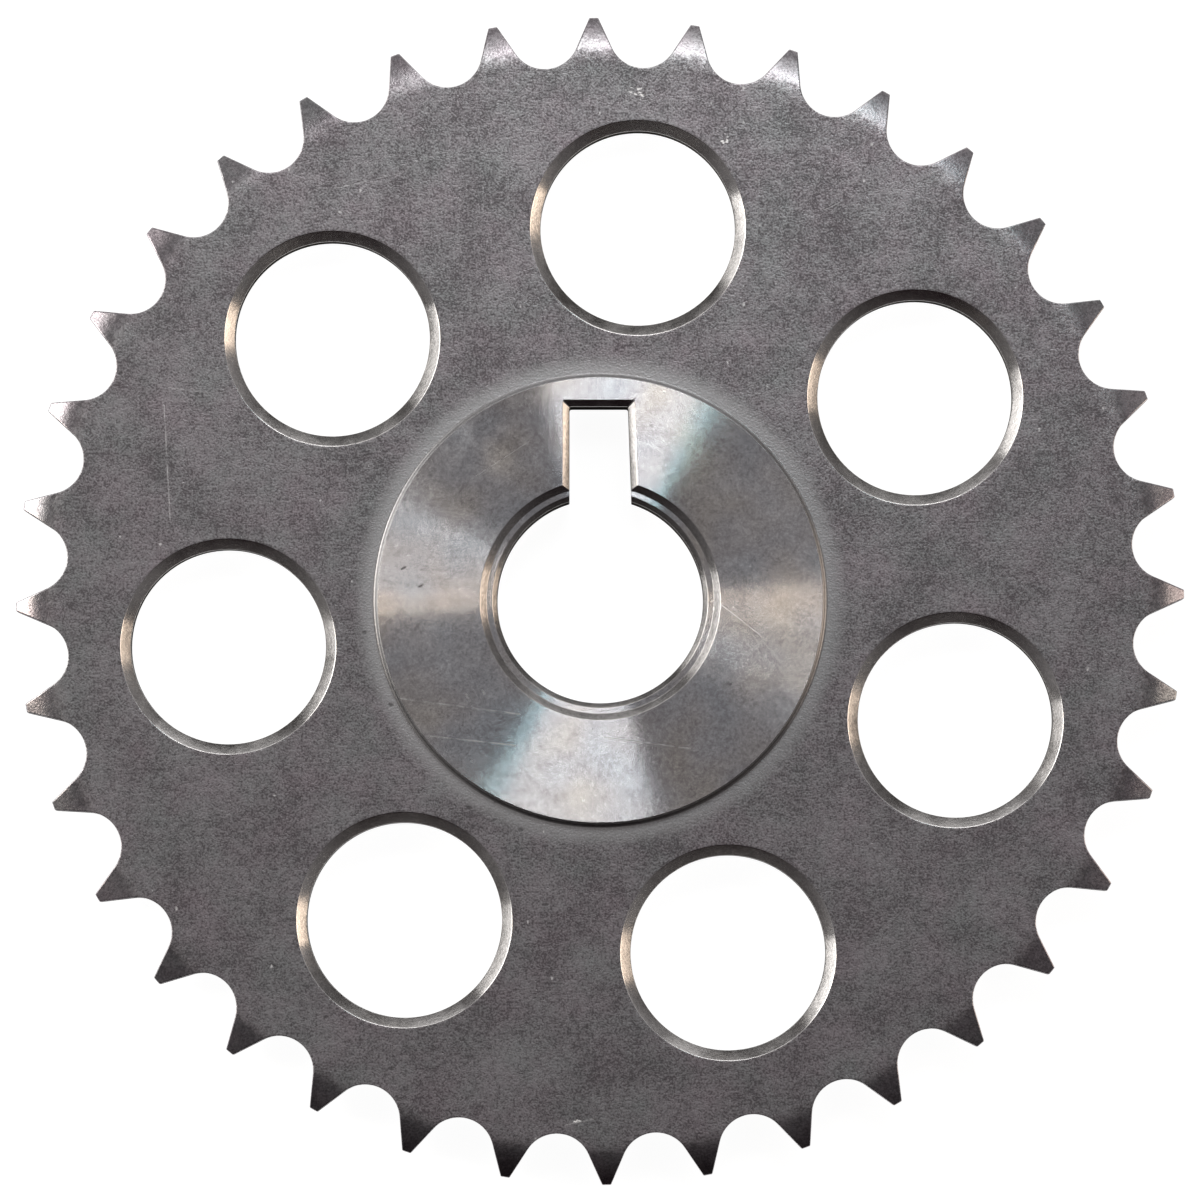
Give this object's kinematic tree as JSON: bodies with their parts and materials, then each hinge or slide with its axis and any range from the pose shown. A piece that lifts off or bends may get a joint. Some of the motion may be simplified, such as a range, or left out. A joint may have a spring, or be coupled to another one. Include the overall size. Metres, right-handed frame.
{
  "type": "timing chain sprocket",
  "caption": "Flat steel timing chain sprocket with a low turned hub, a keyed bore and round lightening holes.",
  "frame": {"origin": "on the bore's axis, in the plane of the hub's back face, on which the sprocket lies", "axes": "+Z along the bore, out of the front face with the stepped countersink; +Y towards the closed end of the driving slot"},
  "size_m": [0.1124, 0.1124, 0.0079],
  "materials": {
    "steel": "tumbled, with a finely turned hub face and machined bevels"
  },
  "bodies": {
    "root": {"sprocket": "steel"}
  },
  "joints": []
}
